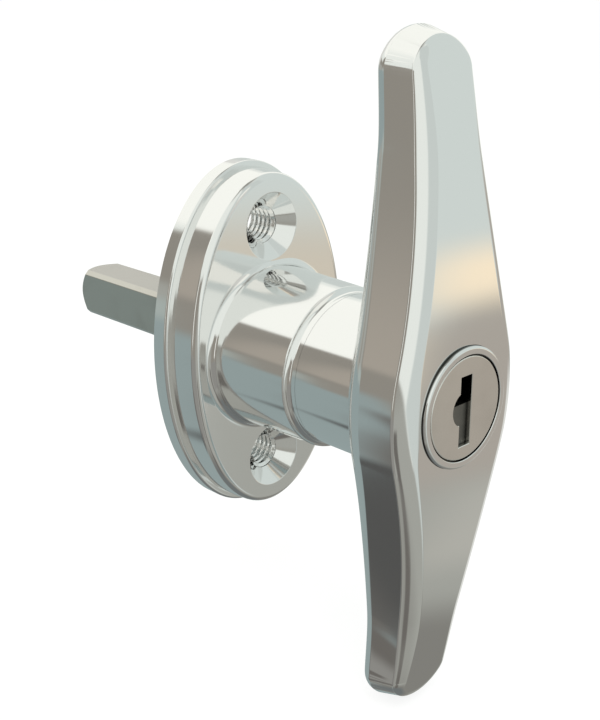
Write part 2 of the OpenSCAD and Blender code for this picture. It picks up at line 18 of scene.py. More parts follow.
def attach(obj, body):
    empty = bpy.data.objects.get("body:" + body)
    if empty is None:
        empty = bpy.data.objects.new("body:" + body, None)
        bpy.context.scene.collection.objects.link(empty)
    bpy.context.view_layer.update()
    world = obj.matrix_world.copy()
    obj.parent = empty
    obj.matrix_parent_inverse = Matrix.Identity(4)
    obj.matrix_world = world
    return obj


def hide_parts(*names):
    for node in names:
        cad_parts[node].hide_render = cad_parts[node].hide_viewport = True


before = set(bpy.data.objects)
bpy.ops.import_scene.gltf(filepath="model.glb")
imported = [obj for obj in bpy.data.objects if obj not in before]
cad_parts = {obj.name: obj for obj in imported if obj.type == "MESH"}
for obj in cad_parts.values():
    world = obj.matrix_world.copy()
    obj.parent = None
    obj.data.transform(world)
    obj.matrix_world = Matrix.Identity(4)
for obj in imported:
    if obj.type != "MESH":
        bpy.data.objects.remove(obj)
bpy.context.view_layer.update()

LOG = logging.getLogger("latch")
# Metres in a millimetre.
MM = 0.001
# Steps in a millimetre to which places are rounded when patches are welded.
WELD = 2e4
# Millimetres within which two places count as one.
TOUCH = 1e-4
# Millimetres of a section's straight lead-in or run-out, which is left out of the mesh.
LEAD = 3.0
PURE_WHITE = (1.0, 1.0, 1.0, 1.0)
Color = tuple[float, float, float]
Surface = Callable[[np.ndarray], tuple[np.ndarray, np.ndarray]]


# Sections and outlines


@dataclass(frozen=True)
class Run:
    """One straight or round stretch of a section, as points and normals in (offset, ahead).

    The offset is how far a point stands outside the outline that the section follows.
    """

    points: np.ndarray
    normals: np.ndarray


@dataclass(frozen=True)
class Outline:
    """A closed line in the (across, up) plane with its outward normals."""

    points: np.ndarray
    normals: np.ndarray

    def inset(self, depth: float) -> np.ndarray:
        """Points of the outline drawn in by a depth along its normals."""
        return self.points - depth * self.normals


def unit(vectors: np.ndarray) -> np.ndarray:
    """The same vectors at a length of one."""
    return vectors / np.linalg.norm(vectors, axis=-1, keepdims=True)


def spokes(angles: np.ndarray) -> np.ndarray:
    """Unit vectors at these angles, one row each."""
    return np.stack([np.cos(angles), np.sin(angles)], 1)


def right_of(way: np.ndarray) -> np.ndarray:
    """A vector turned by a right angle to the right."""
    return np.array([way[1], -way[0]])


def raised(loop: np.ndarray, ahead: Union[float, np.ndarray]) -> np.ndarray:
    """Points of a flat loop at one height, or each at its own."""
    return np.column_stack([loop, np.broadcast_to(ahead, len(loop))])


def ease(value: Union[float, np.ndarray], low: float, high: float) -> Union[float, np.ndarray]:
    """Smooth step from 0 at low to 1 at high."""
    share = np.clip((value - low) / (high - low), 0, 1)
    return share * share * (3 - 2 * share)


def bell(near: float, far: float, off: Union[float, np.ndarray], width: float) -> Union[float, np.ndarray]:
    """Value that is near at no offset and far well beyond a width."""
    return far + (near - far) * np.exp(-(off / width) ** 2)


def rounded_path(corners: Sequence[Sequence[float]], steps: int = 8, even: bool = False) -> list[Run]:
    """Section line through corners, each sharp or rounded by its own radius.

    Args:
        corners: Places as (offset, ahead), or as (offset, ahead, radius) where they are rounded.
        steps: Steps of an arc that turns a right angle.
        even: Whether every arc has that many steps, however far it turns.

    Returns:
        Straight and round runs, with normals to the right of travel.
    """
    spots = np.array([corner[:2] for corner in corners], float)
    ways = unit(np.diff(spots, axis=0))
    runs: list[Run] = []
    start = spots[0]
    for k in range(1, len(spots)):
        end, arc = spots[k], None
        if k < len(spots) - 1 and len(corners[k]) > 2:
            before, after, radius = ways[k - 1], ways[k], corners[k][2]
            turn = math.atan2(before[0] * after[1] - before[1] * after[0], float(before @ after))
            reach = radius * math.tan(abs(turn) / 2)
            end = spots[k] - before * reach
            side = math.copysign(1.0, turn)
            centre = end - side * radius * right_of(before)
            count = steps if even else max(2, int(round(steps * abs(turn) / (math.pi / 2))))
            angles = math.atan2(before[1], before[0]) + turn * np.linspace(0, 1, count + 1)
            outward = np.stack([np.sin(angles), -np.cos(angles)], 1)
            arc = Run(centre + side * radius * outward, outward)
        if np.linalg.norm(end - start) > TOUCH:
            runs.append(Run(np.array([start, end]), np.array([right_of(ways[k - 1])] * 2)))
        if arc is not None:
            runs.append(arc)
            end = arc.points[-1]
        start = end
    return runs


def axis_outline(count: int, centre: tuple[float, float] = (0.0, 0.0)) -> Outline:
    """Outline of no size whose normals fan out, so that a section's offsets are radii."""
    angles = np.linspace(0, 2 * math.pi, count, endpoint=False)
    return Outline(np.tile(np.array(centre, float), (count, 1)), spokes(angles))


def circle(radius: float, count: int, centre: tuple[float, float] = (0.0, 0.0)) -> np.ndarray:
    """Points of a circle."""
    return axis_outline(count, centre).inset(-radius)


def inside(points: np.ndarray, loop: np.ndarray) -> np.ndarray:
    """Tells which points lie inside a closed loop.

    Args:
        points: Places to test.
        loop: Corners of the loop in order.

    Returns:
        One truth value for each point.
    """
    start, end = loop, np.roll(loop, -1, axis=0)
    x, y = points[:, :1], points[:, 1:]
    crossed = (start[:, 1] > y) != (end[:, 1] > y)
    rise = np.where(crossed, end[:, 1] - start[:, 1], 1.0)
    beyond = x < (end[:, 0] - start[:, 0]) * (y - start[:, 1]) / rise + start[:, 0]
    return (crossed & beyond).sum(axis=1) % 2 == 1


def level(ahead: float, facing: float) -> Surface:
    """Flat surface at one height, which faces forward (1) or back (-1)."""

    def surface(points: np.ndarray) -> tuple[np.ndarray, np.ndarray]:
        """Height and normal at each point."""
        return np.full(len(points), ahead), np.tile([0.0, 0.0, facing], (len(points), 1))

    return surface


# Meshes


class Skin:
    """Surface patches that are welded into one mesh and keep each patch's own normals."""

    def __init__(self) -> None:
        """Starts with no patches."""
        self.points: list[np.ndarray] = []
        self.normals: list[np.ndarray] = []
        self.faces: list[np.ndarray] = []
        self.count = 0

    def patch(self, points: np.ndarray, normals: np.ndarray, faces: np.ndarray) -> None:
        """Adds one patch.

        Args:
            points: Places, one row each.
            normals: The surface's normals there.
            faces: Rows of three or four indices into points.
        """
        self.points.append(points)
        self.normals.append(normals)
        self.faces.append(faces + self.count)
        self.count += len(points)

    def grid(self, points: np.ndarray, normals: np.ndarray, closed: bool = True) -> None:
        """Adds a patch whose points stand in rows and columns.

        Args:
            points: Places, as rows by columns by three.
            normals: The surface's normals there.
            closed: Whether the last column joins the first.
        """
        rows, columns = points.shape[:2]
        i, j = np.meshgrid(np.arange(rows - 1), np.arange(columns if closed else columns - 1), indexing="ij")
        k = (j + 1) % columns
        faces = np.stack([i * columns + j, i * columns + k, (i + 1) * columns + k, (i + 1) * columns + j], -1)
        self.patch(points.reshape(-1, 3), normals.reshape(-1, 3), faces.reshape(-1, 4))

    def loft(self, outline: Outline, section: Callable[[int], list[Run]], slanted: bool = False) -> None:
        """Carries a section round an outline.

        Args:
            outline: The closed line to follow.
            section: The runs of the section at a point of the outline.
            slanted: Whether the section changes so much that the normals lean with it.
        """
        sections = [section(j) for j in range(len(outline.points))]
        for k in range(len(sections[0])):
            flat = np.stack([runs[k].points for runs in sections], 1)
            lean = np.stack([runs[k].normals for runs in sections], 1)
            places = outline.points + flat[..., :1] * outline.normals
            points = np.concatenate([places, flat[..., 1:]], -1)
            normals = np.concatenate([lean[..., :1] * np.broadcast_to(outline.normals, places.shape),
                                      lean[..., 1:]], -1)
            if slanted:
                along = np.roll(points, -1, axis=1) - np.roll(points, 1, axis=1)
                down = np.concatenate([-lean[..., 1:] * np.broadcast_to(outline.normals, places.shape),
                                       lean[..., :1]], -1)
                true = unit(np.cross(along, down))
                normals = true * np.sign((true * normals).sum(-1, keepdims=True))
            self.grid(points, normals)

    def sweep(self, outline: Outline, runs: list[Run]) -> None:
        """Carries one unchanging section round an outline."""
        self.loft(outline, lambda j: runs)

    def wall(self, loop: np.ndarray, low: Union[float, np.ndarray], high: Union[float, np.ndarray],
             normals: np.ndarray) -> None:
        """Adds an upright wall along a closed loop.

        Args:
            loop: Points of the loop.
            low: Height of its rear edge, one for all points or one each.
            high: Height of its front edge, likewise.
            normals: Normals of the wall in the (across, up) plane.
        """
        self.grid(np.stack([raised(loop, low), raised(loop, high)]), np.stack([raised(normals, 0.0)] * 2))

    def strip(self, first: np.ndarray, second: np.ndarray, ahead: float, facing: float) -> None:
        """Adds a flat strip between two loops with as many points.

        Args:
            first: Points of one edge.
            second: Points of the other edge.
            ahead: The strip's height.
            facing: 1 where it faces forward, -1 where it faces back.
        """
        self.grid(np.stack([raised(first, ahead), raised(second, ahead)]),
                  np.tile([0.0, 0.0, facing], (2, len(first), 1)))

    def facets(self, loop: np.ndarray, low: float, high: float, facing: float) -> None:
        """Adds upright flat faces along a closed loop that runs anticlockwise.

        Args:
            loop: Corners of the loop.
            low: Height of their rear edge.
            high: Height of their front edge.
            facing: 1 where the faces look out of the loop, -1 where they look in.
        """
        for start, end in zip(loop, np.roll(loop, -1, axis=0)):
            normal = np.array([*(facing * right_of(unit(end - start))), 0.0])
            points = np.array([[[*start, ahead], [*end, ahead]] for ahead in (low, high)])
            self.grid(points, np.tile(normal, (2, 2, 1)), closed=False)

    def face(self, outer: np.ndarray, surface: Surface, holes: Sequence[np.ndarray] = (),
             rings: Sequence[np.ndarray] = (), spots: Optional[np.ndarray] = None) -> None:
        """Fills a loop with triangles that lie on a surface.

        Args:
            outer: Points of the outer loop.
            surface: Gives height and normal at places in the (across, up) plane.
            holes: Loops that stay open.
            rings: Loops that the triangles' edges follow.
            spots: More points for the triangles.
        """
        points: list[np.ndarray] = []
        edges: list[tuple[int, int]] = []
        for loop in (outer, *holes, *rings):
            base = sum(len(part) for part in points)
            points.append(loop)
            edges += [(base + k, base + (k + 1) % len(loop)) for k in range(len(loop))]
        if spots is not None:
            points.append(spots)
        flat = [Vector(p) for p in np.concatenate(points).tolist()]
        places, _, triangles, *_ = delaunay_2d_cdt(flat, edges, [], 0, 1e-7)
        found = np.array([tuple(p) for p in places])
        corners = np.array(triangles, int)
        middle = found[corners].mean(axis=1)
        keep = inside(middle, outer)
        for hole in holes:
            keep &= ~inside(middle, hole)
        heights, normals = surface(found)
        self.patch(np.column_stack([found, heights]), normals, corners[keep])

    def build(self, name: str) -> bpy.types.Object:
        """Welds the patches into a mesh object.

        Args:
            name: The piece's name.

        Returns:
            The object, linked into the scene.
        """
        points = np.concatenate(self.points)
        normals = np.concatenate(self.normals)
        _, first, same = np.unique(np.round(points * WELD).astype(np.int64), axis=0,
                                   return_index=True, return_inverse=True)
        same = same.reshape(-1)
        faces: list[list[int]] = []
        leans: list[np.ndarray] = []
        for group in self.faces:
            first_p, second_p, third_p, last_p = (points[group[:, k]] for k in (0, 1, 2, -1))
            area = np.cross(third_p - first_p, last_p - second_p)
            wrong = (area * normals[group].mean(axis=1)).sum(axis=1) < 0
            for row, flip in zip(group, wrong):
                row = row[::-1] if flip else row
                kept = [k for k, v in enumerate(row) if same[v] != same[row[k - 1]]]
                if len({int(same[row[k]]) for k in kept}) < max(3, len(kept)):
                    continue
                faces.append([int(same[row[k]]) for k in kept])
                leans.extend(normals[row[k]] for k in kept)
        turned = np.array(leans)[:, [0, 2, 1]] * [1, -1, 1]
        mesh = bpy.data.meshes.new(name)
        mesh.from_pydata((points[first][:, [0, 2, 1]] * [MM, -MM, MM]).tolist(), [], faces)
        mesh.shade_smooth()
        mesh.normals_split_custom_set(unit(turned).tolist())
        piece = bpy.data.objects.new(name, mesh)
        bpy.context.scene.collection.objects.link(piece)
        LOG.info("%s: %d faces", name, len(faces))
        return piece


# Shader maths


Value = Union[float, "Wire"]


class Wire:
    """A value socket on which plain arithmetic adds Math nodes."""

    def __init__(self, board: "Board", socket: bpy.types.NodeSocket) -> None:
        """Wraps a socket of a board."""
        self.board = board
        self.socket = socket

    def join(self, operation: str, *values: Value) -> "Wire":
        """Adds one Math node that takes these values."""
        return self.board.add("ShaderNodeMath", {"operation": operation}, dict(enumerate(values)))

    def __add__(self, other: Value) -> "Wire":
        """Sum."""
        return self.join("ADD", self, other)

    __radd__ = __add__

    def __mul__(self, other: Value) -> "Wire":
        """Product."""
        return self.join("MULTIPLY", self, other)

    __rmul__ = __mul__

    def __sub__(self, other: Value) -> "Wire":
        """Difference."""
        return self.join("SUBTRACT", self, other)

    def __rsub__(self, other: Value) -> "Wire":
        """Difference from a number."""
        return self.join("SUBTRACT", other, self)

    def __truediv__(self, other: Value) -> "Wire":
        """Quotient."""
        return self.join("DIVIDE", self, other)

    def between(self, low: float, high: float) -> "Wire":
        """Smooth step from 0 at low to 1 at high."""
        return self.board.add("ShaderNodeMapRange", {"interpolation_type": "SMOOTHSTEP"},
                              {"Value": self, "From Min": low, "From Max": high})


class Board:
    """The node tree of a material or of the world."""

    def __init__(self, tree: bpy.types.NodeTree) -> None:
        """Clears the tree."""
        self.tree = tree
        tree.nodes.clear()

    def add(self, kind: str, settings: Optional[dict[str, Any]] = None,
            inputs: Optional[dict[Any, Any]] = None, output: Any = 0) -> Wire:
        """Adds one node.

        Args:
            kind: The node's type.
            settings: Its own settings, set first; "stops" holds a ramp's places and colours.
            inputs: Values or wires for its sockets, by name or number.
            output: Name or number of the socket that is wrapped.

        Returns:
            A wire from that output.
        """
        node = self.tree.nodes.new(kind)
        for name, value in (settings or {}).items():
            if name == "stops":
                self.fill_ramp(node.color_ramp, value)
            else:
                setattr(node, name, value)
        for name, value in (inputs or {}).items():
            if isinstance(value, Wire):
                self.tree.links.new(value.socket, node.inputs[name])
            else:
                node.inputs[name].default_value = value
        return Wire(self, node.outputs[output] if len(node.outputs) else None)

    @staticmethod
    def fill_ramp(ramp: bpy.types.ColorRamp, stops: Sequence[tuple[float, Sequence[float]]]) -> None:
        """Gives a ramp its stops.

        Args:
            ramp: The ramp, which starts with two stops.
            stops: Places from 0 to 1 in order, with their colours.
        """
        while len(ramp.elements) < len(stops):
            ramp.elements.new(1.0)
        for element, (place, _) in zip(ramp.elements, stops):
            element.position = place
        for element, (_, color) in zip(ramp.elements, stops):
            element.color = (*color, 1.0)

    def mix(self, share: Value, first: Any, second: Any) -> Wire:
        """Mix of two colours.

        Args:
            share: Weight of the second colour.
            first: Colour or wire.
            second: Colour or wire.

        Returns:
            The mixed colour.
        """
        return self.add("ShaderNodeMix", {"data_type": "RGBA"}, {0: share, 6: first, 7: second}, 2)

    def noise(self, place: Wire, scale: float, detail: float = 2.0, rough: float = 0.5) -> Wire:
        """Noise value at a place, with a scale in waves per metre."""
        return self.add("ShaderNodeTexNoise", {}, {"Vector": place, "Scale": scale, "Detail": detail,
                                                   "Roughness": rough})

    def split(self, vector: Wire) -> list[Wire]:
        """The three parts of a vector."""
        parts = self.add("ShaderNodeSeparateXYZ", {}, {0: vector}).socket.node
        return [Wire(self, socket) for socket in parts.outputs]

    def surface(self, shader: Wire) -> None:
        """Makes a shader the material's surface."""
        self.add("ShaderNodeOutputMaterial", {}, {"Surface": shader})


def blank(name: str) -> tuple[bpy.types.Material, Board]:
    """New material with the board of its emptied node tree."""
    material = bpy.data.materials.new(name)
    material.use_nodes = True
    return material, Board(material.node_tree)


def linear(red: float, green: float, blue: float) -> Color:
    """Scene colour of a screen colour that is given from 0 to 255."""

    def one(value: float) -> float:
        """Scene value of one channel, by the sRGB curve."""
        share = value / 255
        return share / 12.92 if share <= 0.04045 else ((share + 0.055) / 1.055) ** 2.4

    return one(red), one(green), one(blue)


# Finishes


@dataclass(frozen=True)
class Plate:
    """A metal finish with its cloudiness, its fine scratches and its stains.

    Cloud, scratch and streak_share say how much each changes the roughness, the scales are waves per
    metre, and ripple is the depth of the casting's waves in millimetres. The gap shade, where it is
    given, holds two heights: painted shade darkens the metal below the first and is gone above the
    second, standing in for the shade in the gap between the lock's ring and plug.
    """

    name: str
    color: Color
    roughness: float
    cloud: float = 0.03
    cloud_scale: float = 90.0
    scratch: float = 0.02
    scratch_scale: float = 2600.0
    streak_share: float = 0.6
    streak_squeeze: float = 0.08
    streak_at: tuple[float, float] = (0.55, 0.7)
    ripple: float = 0.0
    ripple_scale: float = 60.0
    grain: float = 0.004
    tarnish: Color = (0.45, 0.42, 0.38)
    tarnish_share: float = 0.0
    tarnish_at: tuple[float, float] = (0.45, 0.75)
    # Painted shade: heights below which the metal is darkened, and its dark colour, for the gap round the
    # plug.
    gap_shade: Optional[tuple[float, float]] = None
    gap_shade_color: Color = (0.07, 0.07, 0.065)

    def make(self) -> bpy.types.Material:
        """Builds the material.

        Returns:
            The new material.
        """
        material, board = blank(self.name)
        place = board.add("ShaderNodeTexCoord", output="Object")
        cloud = board.noise(place, self.cloud_scale, 4.0, 0.55)
        fine = board.noise(place, self.scratch_scale, 3.0, 0.7)
        long = board.add("ShaderNodeVectorMath", {"operation": "MULTIPLY"},
                         {0: place, 1: (1.0, 1.0, self.streak_squeeze)})
        streak = board.noise(long, self.scratch_scale, 2.0, 0.6).between(*self.streak_at)
        rough = (cloud - 0.5) * self.cloud + (fine - 0.5) * self.scratch + self.roughness
        rough = rough + streak * (self.scratch * self.streak_share)
        stain = cloud.between(*self.tarnish_at) * self.tarnish_share
        color = board.mix(stain, (*self.color, 1.0), (*self.tarnish, 1.0))
        # Painted shade: the metal turns dark below the first height, standing in for the shade in the gap
        # between ring and plug.
        if self.gap_shade:
            unshaded = (board.split(place)[1] * (-1 / MM)).between(*self.gap_shade)
            color = board.mix(unshaded, (*self.gap_shade_color, 1.0), color)
        inputs = {"Base Color": color, "Roughness": rough, "Metallic": 1.0}
        if self.ripple:
            height = board.noise(place, self.ripple_scale, 1.0, 0.4) + fine * self.grain
            inputs["Normal"] = board.add("ShaderNodeBump", {}, {
                "Strength": 1.0, "Distance": self.ripple * MM, "Height": height})
        board.surface(board.add("ShaderNodeBsdfPrincipled", {}, inputs))
        return material


@dataclass(frozen=True)
class Rubber:
    """A black rubber finish with a fine grain."""

    name: str
    color: Color
    dust: Color = (0.06, 0.06, 0.06)
    dust_share: float = 0.4
    roughness: float = 0.7
    rough_change: float = 0.1
    grain_scale: float = 4000.0
    grain_depth: float = 0.02
    grain_strength: float = 0.3

    def make(self) -> bpy.types.Material:
        """Builds the material.

        Returns:
            The new material.
        """
        material, board = blank(self.name)
        grain = board.noise(board.add("ShaderNodeTexCoord", output="Object"), self.grain_scale, 3.0)
        color = board.mix(grain * self.dust_share, (*self.color, 1.0), (*self.dust, 1.0))
        bump = board.add("ShaderNodeBump", {}, {
            "Strength": self.grain_strength, "Distance": self.grain_depth * MM, "Height": grain})
        board.surface(board.add("ShaderNodeBsdfPrincipled", {}, {
            "Base Color": color, "Roughness": grain * self.rough_change + self.roughness, "Normal": bump}))
        return material


class Finish(Enum):
    """The finishes of the latch."""

    ROSE = Plate("rose_chrome", (0.90, 0.90, 0.89), 0.09, ripple=0.010)
    GRIP = Plate("grip_chrome", (0.90, 0.90, 0.89), 0.08, ripple=0.012, ripple_scale=45.0)
    # The ring and the plug take painted shade below their faces, where the gap between them lies in shade.
    LOCK = Plate("lock_chrome", (0.90, 0.90, 0.89), 0.08, ripple=0.004, gap_shade=(46.1, 46.35))
    PLUG = Plate("plug_nickel", (0.86, 0.84, 0.80), 0.14, ripple=0.004, tarnish_share=0.2, gap_shade=(45.6, 46.2))
    SPINDLE = Plate("spindle_steel", (0.62, 0.60, 0.55), 0.22, scratch=0.06, tarnish_share=0.5)
    PIN = Plate("pin_steel", (0.60, 0.60, 0.60), 0.25)
    WASHER = Plate("washer_steel", (0.72, 0.70, 0.62), 0.28, tarnish_share=0.4)
    SPRING = Plate("spring_steel", (0.45, 0.46, 0.48), 0.3)
    BOLT = Plate("bolt_steel", (0.68, 0.66, 0.58), 0.3)
    WAFER = Plate("wafer_nickel", (0.17, 0.17, 0.16), 0.35, tarnish_share=0.6)
    COIL = Plate("coil_steel", (0.6, 0.6, 0.6), 0.25)
    SEAL = Rubber("seal_rubber", (0.015, 0.015, 0.015))

    def make(self) -> bpy.types.Material:
        """The finish's material, built once."""
        found = bpy.data.materials.get("latch_" + self.value.name)
        if found is None:
            found = self.value.make()
            found.name = "latch_" + self.value.name
        return found


def mount(piece: bpy.types.Object, finish: Finish, body: str, node: str) -> None:
    """Dresses a piece and puts it in place of its node.

    Args:
        piece: The new object.
        finish: Its finish.
        body: The body it moves with.
        node: The node it stands for.
    """
    piece.data.materials.append(finish.make())
    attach(piece, body)
    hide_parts(node)


# Rose


@dataclass
class Rose:
    """The two-step oval rose with its boss, screw holes and rear recess.

    rear_half is half the rear disc's width and height, and ledge how much less the front disc has.
    The fillet at the boss's root is root_wide, and root_tight within some root_spread degrees of the
    screw holes. thread_crest and thread_flank are shares of half a turn of thread, thread_phase is
    the turn at which the upper and the lower thread start, and the recess is lug_r wide between the
    degrees of lug_arc.
    """

    rear_half: tuple[float, float] = (17.3, 28.425)
    ledge: tuple[float, float] = (1.1, 0.9)
    rim_t: float = 2.8
    rim_round: float = 0.5
    rose_t: float = 8.1
    face_taper: float = 0.4
    face_round: float = 1.1
    boss_r: float = 12.85
    boss_tip_r: float = 12.35
    boss_side_h: float = 23.2
    boss_front: float = 24.88
    boss_top_r: float = 11.52
    boss_edge: float = 0.2
    cove_h: float = 23.5
    cove_r: float = 1.0
    root_wide: float = 1.3
    root_tight: float = 0.72
    root_spread: float = 16.0
    bore_r: float = 9.0
    screw_z: float = 19.0
    sink_r: float = 5.22
    sink_edge: float = 0.15
    thread_minor: float = 2.46
    thread_depth: float = 0.54
    thread_pitch: float = 1.0
    thread_mouth: float = 6.0
    thread_crest: float = 0.14
    thread_flank: float = 0.66
    thread_rear: float = 1.1
    thread_phase: tuple[float, float] = (0.3, 0.6)
    recess_r: float = 11.0
    recess_h: float = 4.95
    lug_r: float = 13.0
    lug_arc: tuple[float, float] = (-104.2, 14.2)
    count: int = 256
    hole_count: int = 96
    thread_rows: int = 136
    recess_steps: tuple[int, int] = (48, 72)

    def oval(self, half: tuple[float, float]) -> Outline:
        """Oval outline with its true normals.

        Args:
            half: Half width and half height.

        Returns:
            The outline.
        """
        ways = axis_outline(self.count).normals
        return Outline(ways * half, unit(ways * half[::-1]))

    def root(self, angle: float) -> float:
        """Radius of the fillet at the boss's root, smaller where a screw hole lies close."""
        return bell(self.root_tight, self.root_wide, (math.degrees(angle) % 180) - 90, self.root_spread)

    def boss_section(self, j: int) -> list[Run]:
        """Section of the boss at one of its points, from the rose's face to the bore's mouth."""
        root = self.root(2 * math.pi * j / self.count)
        return rounded_path([
            (self.boss_r + LEAD, self.rose_t), (self.boss_r, self.rose_t, root),
            (self.boss_tip_r, self.boss_side_h, self.boss_edge), (self.boss_top_r, self.cove_h, self.cove_r),
            (self.boss_top_r, self.boss_front), (self.bore_r, self.boss_front)], 10, even=True)[1:]

    def thread(self, centre: float) -> Callable[[np.ndarray, np.ndarray], np.ndarray]:
        """Radius of the tapped hole.

        Args:
            centre: The hole's place along the rose.

        Returns:
            A function of angle and height that gives the radius.
        """
        phase = self.thread_phase[0 if centre > 0 else 1]

        def radius(angle: np.ndarray, height: np.ndarray) -> np.ndarray:
            """Radius at these angles and heights."""
            turn = (height / self.thread_pitch + angle / (2 * math.pi) + phase) % 1.0
            tooth = np.clip((np.abs(turn - 0.5) * 2 - self.thread_crest) / self.thread_flank, 0, 1)
            cone = self.sink_r - (self.rose_t - height)
            rear = self.thread_minor + self.thread_depth * self.thread_rear - height
            return np.maximum(np.maximum(self.thread_minor + self.thread_depth * tooth, cone), rear)

        return radius

    def add_hole(self, skin: Skin, centre: float) -> tuple[np.ndarray, np.ndarray]:
        """Adds one tapped and countersunk hole.

        Args:
            skin: The skin that takes it.
            centre: The hole's place along the rose.

        Returns:
            The loops of its mouths at the rose's face and at its rear.
        """
        low = self.sink_r - (self.rose_t - self.thread_mouth)
        runs = rounded_path([(self.sink_r + LEAD, self.rose_t), (self.sink_r, self.rose_t, self.sink_edge),
                             (low, self.thread_mouth)])[1:]
        skin.sweep(axis_outline(self.hole_count, (0.0, centre)), runs)
        heights = np.linspace(0, self.thread_mouth, self.thread_rows)
        angles = np.linspace(0, 2 * math.pi, self.hole_count, endpoint=False)
        height, angle = np.meshgrid(heights, angles, indexing="ij")
        radius = self.thread(centre)
        reach, x, y = radius(angle, height), np.cos(angle), np.sin(angle)
        step = 0.02
        climb = (radius(angle, height + step) - radius(angle, height - step)) / (2 * step)
        round_about = (radius(angle + step, height) - radius(angle - step, height)) / (2 * step) / reach
        points = np.stack([reach * x, centre + reach * y, height], -1)
        skin.grid(points, unit(np.stack([-x - round_about * y, -y + round_about * x, climb], -1)))
        return circle(runs[0].points[0][0], self.hole_count, (0.0, centre)), points[0, :, :2]

    def recess_loop(self) -> np.ndarray:
        """Outline of the recess behind the rose, with the lug's wider arc."""
        low, high = (math.radians(a) for a in self.lug_arc)
        wide = np.linspace(low, high, self.recess_steps[0])
        tight = np.linspace(high, low + 2 * math.pi, self.recess_steps[1])
        return np.concatenate([self.lug_r * spokes(wide), self.recess_r * spokes(tight)])

    def build(self) -> None:
        """Builds the rose."""
        skin = Skin()
        rear = self.oval(self.rear_half)
        face = self.oval((self.rear_half[0] - self.ledge[0], self.rear_half[1] - self.ledge[1]))
        skin.sweep(rear, rounded_path([(0, 0), (0, self.rim_t, self.rim_round), (-LEAD, self.rim_t)])[:2])
        skin.strip(rear.inset(self.rim_round), face.points, self.rim_t, 1)
        side = rounded_path([(0, self.rim_t), (-self.face_taper, self.rose_t, self.face_round),
                             (-LEAD, self.rose_t)], 12)[:2]
        skin.sweep(face, side)
        around = axis_outline(self.count)
        skin.loft(around, self.boss_section)
        foot = np.array([self.boss_section(j)[0].points[0][0] for j in range(self.count)])
        mouths, rear_mouths = zip(*(self.add_hole(skin, z) for z in (self.screw_z, -self.screw_z)))
        skin.face(face.inset(-side[-1].points[-1][0]), level(self.rose_t, 1),
                  [foot[:, None] * around.normals, *mouths])
        recess = self.recess_loop()
        bore = circle(self.bore_r, self.count)
        skin.facets(recess, 0, self.recess_h, -1)
        skin.face(recess, level(self.recess_h, -1), [bore])
        skin.wall(bore, self.recess_h, self.boss_front, -around.normals)
        skin.face(rear.points, level(0, -1), [recess, *rear_mouths])
        mount(skin.build("rose_body"), Finish.ROSE, "rose", "base_flange")


# Grip


@dataclass(frozen=True)
class Arc:
    """One arc of an outline: its centre, its radius (minus for a hollow one) and the turns it spans."""

    centre: tuple[float, float]
    radius: float
    low: float
    high: float


